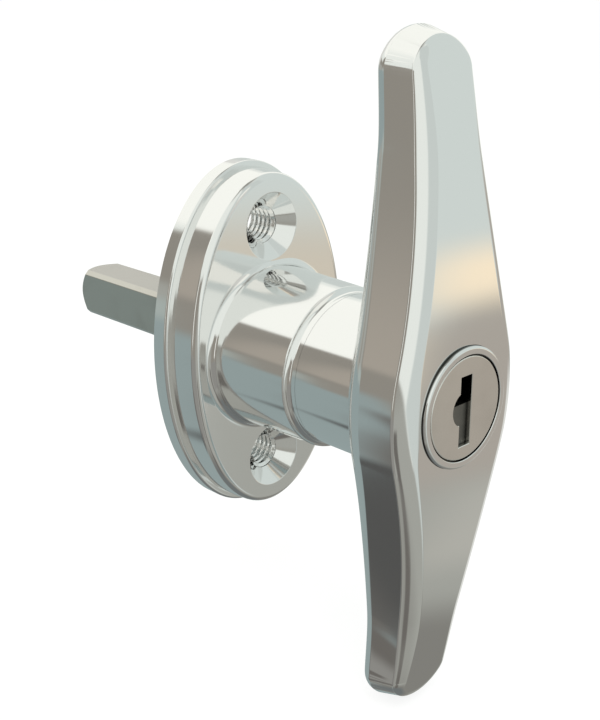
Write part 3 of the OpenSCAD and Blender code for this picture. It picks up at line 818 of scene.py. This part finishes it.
@dataclass
class Grip:
    """The crowned T-grip with the crowned band round its front, its neck, shank and double-D tail.

    The band's pairs of values hold for the flanks and for the middle; it leans from band_from to
    band_to degrees. Towards the ends the back edge flares between the two places of flare_at, and the
    band narrows to its band_least share between those of band_end. The back edge's radius goes from
    round_mid to round_end. A groove is its radius and the heights of its rear and front.
    """

    half_l: float = 50.0
    mid_half: float = 12.8
    waist_half: float = 5.75
    bulge_r: float = 28.0
    flank_r: float = 166.0
    back_h: float = 34.0
    front_h: float = 46.04
    crown_r: float = 205.0
    shoulder_r: float = 3.6
    tip_r: float = 6.5
    flare: float = 1.0
    flare_at: tuple[float, float] = (34.0, 47.0)
    side_edge: float = 0.7
    front_edge: float = 0.9
    band_r: tuple[float, float] = (4.2, 5.6)
    band_from: tuple[float, float] = (38.0, 46.0)
    band_to: tuple[float, float] = (77.0, 86.0)
    band_mid: float = 6.0
    band_end: tuple[float, float] = (33.0, 48.0)
    band_least: float = 0.62
    round_mid: float = 4.4
    round_end: float = 2.1
    round_fade: float = 22.0
    neck_r: float = 11.5
    neck_end: float = 24.9
    shank_r: float = 8.92
    step_h: float = 4.2
    tail_r: float = 7.0
    tail_flat: float = 6.0
    tail_h: float = 0.6
    groove: tuple[float, float, float] = (6.3, 1.5, 2.6)
    socket_half: float = 4.05
    socket_h: float = 15.0
    lock_r: float = 8.8
    lock_floor: float = 27.6
    steps: tuple[int, int, int, int] = (24, 60, 30, 24)
    band_steps: tuple[int, int, int] = (6, 10, 4)
    back_turns: tuple[float, float, float] = (10.0, 90.0, 8.0)
    spot_step: float = 1.5
    spot_counts: tuple[int, int] = (6, 30)
    spot_inset: float = 0.97
    spot_gap: float = 0.5
    tail_count: int = 72
    count: int = 192

    def __post_init__(self) -> None:
        """Works out the arcs of the outline: bulge, hollow flank, shoulder and tip."""
        flank_x, bulge_x = self.waist_half + self.flank_r, self.mid_half - self.bulge_r
        flank_z = math.sqrt((self.flank_r + self.bulge_r) ** 2 - (flank_x - bulge_x) ** 2)
        tip_z = self.half_l - self.flare - self.tip_r
        way = np.array([flank_x, flank_z - tip_z])
        far, reach = float(np.linalg.norm(way)), self.shoulder_r - self.tip_r
        along = (far ** 2 + reach ** 2 - (self.flank_r + self.shoulder_r) ** 2) / (2 * far)
        turned = math.copysign(1.0, reach)
        off = turned * math.sqrt(reach ** 2 - along ** 2)
        shoulder = np.array([0.0, tip_z]) + (along * way + off * right_of(way)) / far
        turns = [0.0, math.atan2(flank_z, flank_x - bulge_x),
                 math.atan2(flank_z - shoulder[1], flank_x - shoulder[0]),
                 math.atan2(turned * (tip_z - shoulder[1]), -turned * shoulder[0]), math.pi / 2]
        centres = [(bulge_x, 0.0), (flank_x, flank_z), tuple(shoulder), (0.0, tip_z)]
        radii = (self.bulge_r, -self.flank_r, self.shoulder_r, self.tip_r)
        self.arcs = [Arc(centre, radius, low, high)
                     for centre, radius, low, high in zip(centres, radii, turns, turns[1:])]

    def outline(self) -> Outline:
        """The grip's whole outline, anticlockwise from the right of the middle."""
        ways = [spokes(np.linspace(arc.low, arc.high, count, endpoint=False))
                for arc, count in zip(self.arcs, self.steps)]
        points = np.concatenate([arc.centre + arc.radius * way for arc, way in zip(self.arcs, ways)])
        normals = np.concatenate(ways)
        top_p, top_n = np.array([[0.0, self.half_l - self.flare]]), np.array([[0.0, 1.0]])
        flip = np.array([-1.0, 1.0])
        half_p = np.concatenate([points, top_p, (points[1:] * flip)[::-1]])
        half_n = np.concatenate([normals, top_n, (normals[1:] * flip)[::-1]])
        left_p, left_n = points[:1] * flip, normals[:1] * flip
        return Outline(np.concatenate([half_p, left_p, -half_p[1:]]),
                       np.concatenate([half_n, left_n, -half_n[1:]]))

    def foot(self, points: np.ndarray) -> tuple[np.ndarray, np.ndarray, np.ndarray]:
        """Nearest place on the outline.

        Args:
            points: Places in the plane of the grip.

        Returns:
            Depth inside the outline, outward direction and place along the grip of the nearest point.
        """
        sign = np.where(points < 0, -1.0, 1.0)
        there = np.abs(points)
        ways, depth = np.zeros_like(there), np.zeros(len(there))
        for arc in self.arcs:
            side = math.copysign(1.0, arc.radius)
            off = (there - arc.centre) * side
            far = np.maximum(np.linalg.norm(off, axis=1), 1e-9)
            reached = (np.arctan2(off[:, 1], off[:, 0]) - arc.low) * (arc.high - arc.low) >= 0
            ways[reached] = (off / far[:, None])[reached]
            depth[reached] = (arc.radius - side * far)[reached]
        place = there[:, 1] + depth * ways[:, 1]
        return depth, ways * sign, place * sign[:, 1]

    def flared(self, place: np.ndarray) -> np.ndarray:
        """How far the back edge stands outside the front one at places along the grip."""
        return self.flare * ease(np.abs(place), *self.flare_at)

    def back_round(self, place: np.ndarray) -> np.ndarray:
        """Radius of the back edge at places along the grip."""
        return bell(self.round_mid, self.round_end, place, self.round_fade)

    def back(self, points: np.ndarray) -> tuple[np.ndarray, np.ndarray]:
        """The grip's back, flat with a rounded edge.

        Args:
            points: Places in the plane of the grip.

        Returns:
            Heights and normals.
        """
        depth, ways, place = self.foot(points)
        radius = self.back_round(place)
        depth = depth + self.flared(place)
        fade = -2 * place / self.round_fade ** 2 * (radius - self.round_end)
        step = 0.01
        spread = (self.flared(place + step) - self.flared(place - step)) / (2 * step)
        out = np.clip(radius - depth, 0, radius)
        down = np.sqrt(np.maximum(radius ** 2 - out ** 2, 0))
        along = np.stack([-ways[:, 1], ways[:, 0]], 1)
        drift = np.where(out > 0, (down - np.minimum(depth, radius)) * fade - out * spread, 0) * along[:, 1]
        flat = out[:, None] * ways + drift[:, None] * along
        return self.back_h + radius - down, unit(np.column_stack([flat, -down]))

    def crown(self, points: np.ndarray) -> tuple[np.ndarray, np.ndarray]:
        """The grip's crowned front.

        Args:
            points: Places in the plane of the grip.

        Returns:
            Heights and normals.
        """
        z = points[:, 1]
        normals = np.column_stack([np.zeros(len(z)), z / self.crown_r, np.ones(len(z))])
        return self.front_h - z * z / (2 * self.crown_r), unit(normals)

    def blend(self, values: tuple[float, float], place: float) -> float:
        """Value of the band at a place along the grip, from those on the flanks and at the middle."""
        flank, middle = values
        return bell(middle, flank, place, self.band_mid)

    def side_section(self, outline: Outline, j: int) -> list[Run]:
        """Section of the side and of the crowned band at one point of the outline.

        Args:
            outline: The grip's outline.
            j: Number of the point.

        Returns:
            The side, the rounding before the band, the band and the rounding after it.
        """
        place, way = float(outline.points[j][1]), outline.normals[j]
        size = 1 - (1 - self.band_least) * ease(abs(place), *self.band_end)
        low, high = (math.radians(self.blend(values, place)) for values in (self.band_from, self.band_to))
        top = math.pi / 2 - math.atan(place / self.crown_r * way[1])
        arcs = [(size * self.side_edge, 0.0, low), (size * self.blend(self.band_r, place), low, high),
                (size * self.front_edge, high, top)]
        wide = sum(radius * (math.cos(start) - math.cos(end)) for radius, start, end in arcs)
        deep = sum(radius * (math.sin(end) - math.sin(start)) for radius, start, end in arcs)
        inner = (outline.points[j] - wide * way)[None]
        start = np.array([0.0, float(self.crown(inner)[0][0]) - deep])
        rear = np.array([self.flared(place), self.back_h + self.back_round(place)])
        runs = [Run(np.array([rear, start]), np.array([unit(right_of(start - rear))] * 2))]
        for (radius, *turns), count in zip(arcs, self.band_steps):
            leans = spokes(np.linspace(*turns, count + 1))
            runs.append(Run(start + radius * (leans - leans[0]), leans))
            start = runs[-1].points[-1]
        return runs

    def add_front(self, skin: Skin, edge: np.ndarray, heights: np.ndarray) -> None:
        """Adds the crowned face and the hole for the lock.

        Args:
            skin: The skin that takes them.
            edge: Where the band ends.
            heights: The band's height there.
        """
        columns, rows = (self.spot_step * np.arange(-count, count + 1) for count in self.spot_counts)
        spots = np.array([(x, z) for z in rows for x in columns])
        clear = inside(spots, edge * self.spot_inset) & (np.hypot(*spots.T) > self.lock_r + self.spot_gap)
        hole = circle(self.lock_r, self.count)

        def crown(points: np.ndarray) -> tuple[np.ndarray, np.ndarray]:
            """The crown, which meets the band at the band's own height."""
            high, normals = self.crown(points)
            near = np.linalg.norm(points[:, None] - edge[None], axis=2)
            return np.where(near.min(axis=1) < TOUCH, heights[near.argmin(axis=1)], high), normals

        skin.face(edge, crown, [hole], spots=spots[clear])
        skin.wall(hole, self.lock_floor, self.crown(hole)[0], -axis_outline(self.count).normals)
        skin.face(hole, level(self.lock_floor, 1))

    def add_back(self, skin: Skin, outline: Outline) -> None:
        """Adds the rounded back and the neck that leaves it.

        Args:
            skin: The skin that takes them.
            outline: The grip's outline.
        """
        radii = self.back_round(outline.points[:, 1])
        rear = outline.inset(-self.flared(outline.points[:, 1])[:, None])
        shares = [1.0, *(1 - np.sin(np.radians(np.arange(*self.back_turns))))]
        rings = [rear - (radii * share)[:, None] * outline.normals for share in shares]
        neck = circle(self.neck_r, self.count)
        skin.face(rear, self.back, [neck], rings=rings)
        skin.wall(neck, self.neck_end, self.back(neck)[0], axis_outline(self.count).normals)

    def double_d(self, radius: float) -> np.ndarray:
        """Loop of the tail's double-D bar at a radius."""
        corners = [math.asin(self.tail_flat / reach) for reach in (self.tail_r, self.groove[0])]
        marks = [half + side * corner for half in (0, math.pi) for side in (-1, 1) for corner in corners]
        angles = np.unique(np.concatenate([np.linspace(0, 2 * math.pi, self.tail_count, endpoint=False),
                                           np.mod(marks, 2 * math.pi)]))
        points = radius * spokes(angles)
        return points / np.maximum(np.abs(points[:, 1:]) / self.tail_flat, 1)

    def add_shank(self, skin: Skin) -> None:
        """Adds the neck's end, the shank, the tail and the square socket.

        Args:
            skin: The skin that takes them.
        """
        skin.sweep(axis_outline(self.count), rounded_path([
            (self.shank_r, self.step_h), (self.shank_r, self.neck_end), (self.neck_r, self.neck_end)]))
        full, thin = self.double_d(self.tail_r), self.double_d(self.groove[0])
        skin.face(circle(self.shank_r, self.count), level(self.step_h, -1), [full])
        _, low, high = self.groove
        for loop, start, end in ((full, self.tail_h, low), (thin, low, high), (full, high, self.step_h)):
            skin.facets(loop, start, end, 1)
        for ahead, facing in ((low, 1), (high, -1)):
            skin.strip(full, thin, ahead, facing)
        half = self.socket_half
        socket = np.array([(half, -half), (half, half), (-half, half), (-half, -half)])
        skin.face(full, level(self.tail_h, -1), [socket])
        skin.facets(socket, self.tail_h, self.socket_h, -1)
        skin.face(socket, level(self.socket_h, -1))

    def build(self) -> None:
        """Builds the grip."""
        skin = Skin()
        outline = self.outline()
        sections = [self.side_section(outline, j) for j in range(len(outline.points))]
        skin.loft(outline, lambda j: sections[j], slanted=True)
        ends = np.array([runs[-1].points[-1] for runs in sections])
        self.add_front(skin, outline.inset(-ends[:, :1]), ends[:, 1])
        self.add_back(skin, outline)
        self.add_shank(skin)
        mount(skin.build("grip_body"), Finish.GRIP, "handle", "t_handle")


# Lock


@dataclass
class Lock:
    """The lock's housing and its plug with the keyway.

    A groove is its radius and the heights of its rear and front.
    """

    ring_r: float = 8.75
    face_h: float = 46.54
    ring_edge: float = 0.4
    head_bore: float = 7.66
    inner_edge: float = 0.1
    shelf_h: float = 45.84
    bore_r: float = 7.07
    groove: tuple[float, float, float] = (8.1, 35.39, 45.7)
    rear_h: float = 29.54
    plug_h: float = 46.42
    plug_edge: float = 0.16
    head_r: float = 7.43
    head_h: float = 45.89
    plug_r: float = 7.0
    plug_end: float = 27.89
    clip_groove: tuple[float, float, float] = (6.2, 28.64, 29.54)
    key_half: float = 1.19
    key_up: float = 4.7
    key_down: float = 5.5
    bulge_r: float = 2.47
    bulge_x: float = -0.22
    key_end: float = 34.69
    key_edge: float = 0.08
    rear_edge: float = 0.2
    bulge_steps: int = 28
    count: int = 192

    def housing(self) -> None:
        """Builds the housing that shows as a ring round the plug."""
        wide, low, high = self.groove
        runs = rounded_path([
            (self.bore_r, self.rear_h), (self.ring_r, self.rear_h, self.rear_edge),
            (self.ring_r, self.face_h, self.ring_edge), (self.head_bore, self.face_h, self.inner_edge),
            (self.head_bore, self.shelf_h), (self.bore_r, self.shelf_h), (self.bore_r, high), (wide, high),
            (wide, low), (self.bore_r, low), (self.bore_r, self.rear_h)])
        skin = Skin()
        skin.sweep(axis_outline(self.count), runs)
        mount(skin.build("lock_ring"), Finish.LOCK, "handle", "lock_housing")

    def keyway(self, grow: float = 0.0) -> np.ndarray:
        """Loop of the keyway, anticlockwise and wider all round by grow."""
        half, up, down = self.key_half + grow, self.key_up + grow, self.key_down + grow
        radius = self.bulge_r + grow
        start = math.acos((-half - self.bulge_x) / radius)
        arc = radius * spokes(np.linspace(start, 2 * math.pi - start, self.bulge_steps))
        return np.array([(half, -down), (half, up), (-half, up), *(arc + (self.bulge_x, 0)), (-half, -down)])

    def plug(self) -> None:
        """Builds the plug with its keyway."""
        skin = Skin()
        groove_r, low, high = self.clip_groove
        runs = rounded_path([
            (0, self.plug_end), (self.plug_r, self.plug_end, self.rear_edge), (self.plug_r, low),
            (groove_r, low), (groove_r, high), (self.plug_r, high), (self.plug_r, self.head_h),
            (self.head_r, self.head_h), (self.head_r, self.plug_h, self.plug_edge), (0, self.plug_h)])[:-1]
        skin.sweep(axis_outline(self.count), runs)
        key, mouth = self.keyway(), self.keyway(self.key_edge)
        skin.face(circle(self.head_r - self.plug_edge, self.count), level(self.plug_h, 1), [mouth])
        low_edge = self.plug_h - self.key_edge
        slopes = np.stack([raised(mouth, self.plug_h), raised(key, low_edge)])
        for k in range(len(key)):
            n = (k + 1) % len(key)
            slant = unit(np.array([*-right_of(unit(key[n] - key[k])), 1.0]))
            skin.grid(slopes[:, [k, n]], np.tile(slant, (2, 2, 1)), closed=False)
        skin.facets(key, self.key_end, low_edge, -1)
        skin.face(key, level(self.key_end, 1))
        mount(skin.build("lock_barrel"), Finish.PLUG, "plug", "lock_plug")

    def build(self) -> None:
        """Builds the housing and the plug."""
        self.housing()
        self.plug()


# Spindle


@dataclass
class Spindle:
    """The square bar with chamfered edges and a turned end."""

    half: float = 4.0
    chamfer: float = 0.7
    edge: float = 0.22
    front_h: float = 14.9
    end_h: float = -38.9
    end_r: float = 3.6
    step: float = 0.5

    def outline(self) -> Outline:
        """Outline of the bar, with its chamfers' edges slightly rounded.

        Returns:
            The outline, its flat sides cut into short steps.
        """
        flat = self.half - self.chamfer
        ring = [(cos * self.half - sin * y, sin * self.half + cos * y, self.edge)
                for cos, sin in ((1, 0), (0, 1), (-1, 0), (0, -1)) for y in (-flat, flat)]
        start = (self.half, 0.0)
        points, normals = [], []
        for run in rounded_path([start, *ring[1:], *ring[:1], start]):
            if len(run.points) == 2:
                parts = max(1, int(np.linalg.norm(run.points[1] - run.points[0]) / self.step))
                shares = np.linspace(0, 1, parts, endpoint=False)[:, None]
                points.append(run.points[:1] * (1 - shares) + run.points[1:] * shares)
                normals.append(np.repeat(run.normals[:1], parts, axis=0))
            else:
                points.append(run.points[:-1])
                normals.append(run.normals[:-1])
        return Outline(np.concatenate(points), np.concatenate(normals))

    def build(self) -> None:
        """Builds the spindle."""
        bar = self.outline()
        reach = np.linalg.norm(bar.points, axis=1)
        ways = bar.points / reach[:, None]
        cone_h = self.end_h + reach - self.end_r
        skin = Skin()
        skin.wall(bar.points, cone_h, self.front_h, bar.normals)
        end = ways * self.end_r
        skin.grid(np.stack([raised(bar.points, cone_h), raised(end, self.end_h)]),
                  np.stack([unit(raised(ways, -1.0))] * 2))
        skin.face(end, level(self.end_h, -1))
        skin.face(bar.points, level(self.front_h, 1))
        mount(skin.build("spindle_bar"), Finish.SPINDLE, "handle", "spindle")


# Inner pieces


@dataclass
class InnerPieces:
    """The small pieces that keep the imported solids' own shapes."""

    finishes: dict[str, Finish] = field(default_factory=lambda: {
        "spindle_pin": Finish.PIN, "stop_washer": Finish.WASHER, "disc_spring": Finish.SPRING,
        "retaining_ring": Finish.SPRING, "shaft_seal": Finish.SEAL, "housing_pin": Finish.PIN,
        "plug_clip": Finish.SPRING, "drive_pin": Finish.PIN, "lock_bolt": Finish.BOLT,
        **{f"wafer_{i}": Finish.WAFER for i in range(1, 6)},
        **{f"wafer_spring_{i}": Finish.COIL for i in range(1, 6)}})

    def build(self) -> None:
        """Dresses each piece."""
        for name, finish in self.finishes.items():
            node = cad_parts[name]
            for slot in node.material_slots:
                slot.link = "OBJECT"
                slot.material = finish.make()
        LOG.info("%d inner pieces dressed", len(self.finishes))


# Studio


class Tone(Enum):
    """Tones of the studio's walls, as screen colours."""

    WHITE = (246, 247, 241)
    PALE = (227, 231, 226)
    SILVER = (214, 214, 210)
    HAZE = (196, 203, 200)
    SKY = (203, 211, 208)
    CREAM = (248, 231, 203)
    PEACH = (204, 195, 179)
    SAND = (167, 161, 153)
    STONE = (160, 161, 155)
    LICHEN = (175, 174, 167)
    MOSS = (138, 137, 133)
    EARTH = (140, 136, 128)
    CLAY = (163, 156, 146)
    SLATE = (143, 156, 156)
    MIST = (163, 172, 168)
    SHADE = (127, 126, 121)
    DUSK = (108, 112, 112)
    UMBER = (105, 102, 98)
    DARK = (81, 81, 80)


@dataclass(frozen=True)
class Card:
    """A soft-edged card on the studio's walls.

    Bearings are degrees round the latch, 0 at its front, 90 at its right and -90 at its left; low and
    high are degrees above the horizon. Both edges climb by slope for each degree of bearing.
    """

    tone: Tone
    bearing: float
    half: float
    low: float
    high: float
    side_blur: float = 5.0
    edge_blur: float = 2.0
    slope: float = 0.0

    def paint(self, board: Board, bearing: Wire, height: Wire, below: Wire) -> Wire:
        """Lays the card over what is painted already.

        Args:
            board: The world's nodes.
            bearing: Bearing of the viewed direction.
            height: Its angle above the horizon.
            below: Colour painted so far.

        Returns:
            The colour with the card on it.
        """
        off = bearing.join("WRAP", bearing - self.bearing, 180.0, -180.0)
        wide = 1 - off.join("ABSOLUTE", off).between(self.half - self.side_blur, self.half + self.side_blur)
        level = height - off * self.slope if self.slope else height
        above = level.between(self.low - self.edge_blur, self.low + self.edge_blur)
        under = 1 - level.between(self.high - self.edge_blur, self.high + self.edge_blur)
        return board.mix(wide * above * under, below, (*linear(*self.tone.value), 1.0))


@dataclass
class Studio:
    """Camera, floor, lamp and the soft walls that the metal reflects.

    The camera's place, lens and sensor and the floor are in millimetres; the nearest thing that the
    camera sees, the lamp's place and its size are in metres, and its power is in watts. The dome's
    stops are degrees above the horizon, and the cards are painted on it in order, each over those
    before it. Strength makes up for the light that the chrome swallows.
    """

    place: tuple[float, float, float] = (-118.60, -135.02, 58.74)
    azimuth: float = -44.477
    elevation: float = 19.479
    roll: float = 0.02
    lens: float = 57.895
    sensor: float = 36.0
    nearest: float = 0.01
    floor_h: float = -50.05
    floor_half: float = 3000.0
    floor_color: Color = (0.86, 0.86, 0.86)
    floor_glow: float = 1.12
    floor_glow_share: float = 0.75
    lamp_place: tuple[float, float, float] = (-0.2, -0.3, 0.6)
    lamp_size: float = 0.5
    lamp_power: float = 2.0
    strength: float = 1.1
    dome: tuple[tuple[float, Tone], ...] = (
        (-90, Tone.DUSK), (-68, Tone.DUSK), (-59, Tone.SHADE), (-47, Tone.STONE), (-18, Tone.STONE),
        (10, Tone.EARTH), (15, Tone.PALE), (62, Tone.PALE), (76, Tone.STONE), (90, Tone.MOSS))
    cards: tuple[Card, ...] = (
        Card(Tone.PALE, -22, 38, -12.5, 72, side_blur=3, slope=-0.53),
        Card(Tone.HAZE, 13, 24, -30, 70, side_blur=4, slope=-0.53),
        Card(Tone.SKY, 73, 37, -10, 68, side_blur=3),
        Card(Tone.SKY, 43, 8, -14, 0, side_blur=2),
        Card(Tone.PEACH, 43, 7, -20, -13, side_blur=2),
        Card(Tone.SAND, 70, 20, -29, -12, side_blur=2),
        Card(Tone.LICHEN, 74, 18, -37, -29, side_blur=4),
        Card(Tone.SHADE, 68, 20, -58, -41, side_blur=5),
        Card(Tone.CREAM, 61, 12, -11.5, -6.5, side_blur=3),
        Card(Tone.SAND, 92, 11, -20, -3, side_blur=5),
        Card(Tone.SILVER, 110, 25, -38, -19, side_blur=4),
        Card(Tone.WHITE, 117, 11, -16, 40),
        Card(Tone.HAZE, 135, 8, -14, 20),
        Card(Tone.SILVER, 158, 18, -22, 30),
        Card(Tone.WHITE, 180, 68, 26, 76, side_blur=14),
        Card(Tone.SLATE, 178, 50, -56, -24),
        Card(Tone.MOSS, -90, 40, -50, -15),
        Card(Tone.EARTH, -93, 39, -16, 14, slope=-0.06),
        Card(Tone.WHITE, -97, 4, -12, 15, side_blur=1),
        Card(Tone.EARTH, -124, 7, -16, 20, side_blur=2),
        Card(Tone.SLATE, -166.5, 38, -60, -1, side_blur=1),
        Card(Tone.STONE, -165, 27, -5, 4, side_blur=2),
        Card(Tone.MIST, -137, 9, -7, -1, side_blur=1.5),
        Card(Tone.EARTH, -142, 10, 4, 27, side_blur=2, slope=0.8),
        Card(Tone.EARTH, -129, 3, -10, 6, side_blur=1),
        Card(Tone.EARTH, -130.5, 3.5, -0.5, 31, side_blur=1.5),
        Card(Tone.CLAY, -129, 3.5, 2, 22, side_blur=1.5),
        Card(Tone.UMBER, -124, 8, -43, -29, side_blur=5),
        Card(Tone.UMBER, -126, 4.5, -43, -17, side_blur=1),
        Card(Tone.UMBER, -136, 10, -43, -31.7, side_blur=2, edge_blur=4, slope=1.3),
        Card(Tone.DARK, -142, 9, -50, -41, side_blur=3),
        Card(Tone.UMBER, -117, 12, -53, -45),
        Card(Tone.UMBER, -36, 6, -50, -24, side_blur=2),
        Card(Tone.UMBER, -33, 12, -66, -50, side_blur=4),
    )

    def camera(self) -> None:
        """Sets the camera at the photographed angle."""
        data = bpy.data.cameras.new("camera")
        data.sensor_fit = "VERTICAL"
        data.sensor_height = self.sensor
        data.lens = self.lens
        data.clip_start = self.nearest
        az, el = math.radians(self.azimuth), math.radians(self.elevation)
        back = Vector((math.sin(az) * math.cos(el), -math.cos(az) * math.cos(el), math.sin(el)))
        right = Vector((0, 0, 1)).cross(back).normalized()
        up = back.cross(right)
        camera = bpy.data.objects.new("camera", data)
        turn = Matrix((right, up, back)).transposed() @ Matrix.Rotation(math.radians(self.roll), 3, "Z")
        camera.matrix_world = Matrix.Translation(Vector(self.place) * MM) @ turn.to_4x4()
        bpy.context.scene.collection.objects.link(camera)
        bpy.context.scene.camera = camera

    def world(self) -> None:
        """Paints the studio's walls into the world, white where the camera looks at them."""
        world = bpy.data.worlds.new("studio")
        world.use_nodes = True
        bpy.context.scene.world = world
        board = Board(world.node_tree)
        x, y, z = board.split(board.add("ShaderNodeTexCoord", output="Generated"))
        height = z.join("ARCSINE", z) * (180 / math.pi)
        bearing = x.join("ARCTAN2", x, y * -1.0) * (180 / math.pi)
        stops = [((angle + 90) / 180, linear(*tone.value)) for angle, tone in self.dome]
        color = board.add("ShaderNodeValToRGB", {"stops": stops}, {0: height / 180 + 0.5})
        for card in self.cards:
            color = card.paint(board, bearing, height, color)
        seen = board.add("ShaderNodeLightPath", output="Is Camera Ray")
        through = board.add("ShaderNodeLightPath", output="Is Transmission Ray")
        color = board.mix(seen + through, color, PURE_WHITE)
        back = board.add("ShaderNodeBackground", {}, {"Color": color, "Strength": self.strength})
        board.add("ShaderNodeOutputWorld", {}, {"Surface": back})

    def floor(self) -> None:
        """Lays the pale floor."""
        skin = Skin()
        half = self.floor_half
        corners = np.array([(-half, -half), (half, -half), (half, half), (-half, half)])
        points = np.insert(corners, 1, self.floor_h, axis=1)
        skin.patch(points, np.tile([0.0, 1.0, 0.0], (4, 1)), np.array([[0, 1, 2, 3]]))
        floor = skin.build("floor")
        material, board = blank("floor_paint")
        paint = board.add("ShaderNodeBsdfDiffuse", {}, {"Color": (*self.floor_color, 1.0)})
        glow = board.add("ShaderNodeEmission", {}, {"Color": PURE_WHITE, "Strength": self.floor_glow})
        share = board.add("ShaderNodeLightPath", output="Is Camera Ray") * self.floor_glow_share
        board.surface(board.add("ShaderNodeMixShader", {}, {0: share, 1: paint, 2: glow}))
        floor.data.materials.append(material)
        floor.visible_glossy = False

    def lamp(self) -> None:
        """Hangs the soft lamp over the latch."""
        data = bpy.data.lights.new("soft_lamp", "AREA")
        data.shape = "RECTANGLE"
        data.size = data.size_y = self.lamp_size
        data.energy = self.lamp_power
        lamp = bpy.data.objects.new("soft_lamp", data)
        lamp.location = self.lamp_place
        lamp.rotation_euler = (-lamp.location).to_track_quat("-Z", "Y").to_euler()
        lamp.visible_glossy = False
        bpy.context.scene.collection.objects.link(lamp)

    def build(self) -> None:
        """Sets up the studio."""
        bpy.context.scene.view_settings.view_transform = "Standard"
        self.camera()
        self.world()
        self.floor()
        self.lamp()
        LOG.info("studio ready")


def main() -> None:
    """Builds the latch piece by piece, then the studio round it."""
    logging.basicConfig(level=logging.INFO, format="%(name)s: %(message)s")
    for part in (Rose(), Grip(), Lock(), Spindle(), InnerPieces(), Studio()):
        part.build()
        LOG.info("%s done", type(part).__name__)


if __name__ == "__main__":
    main()
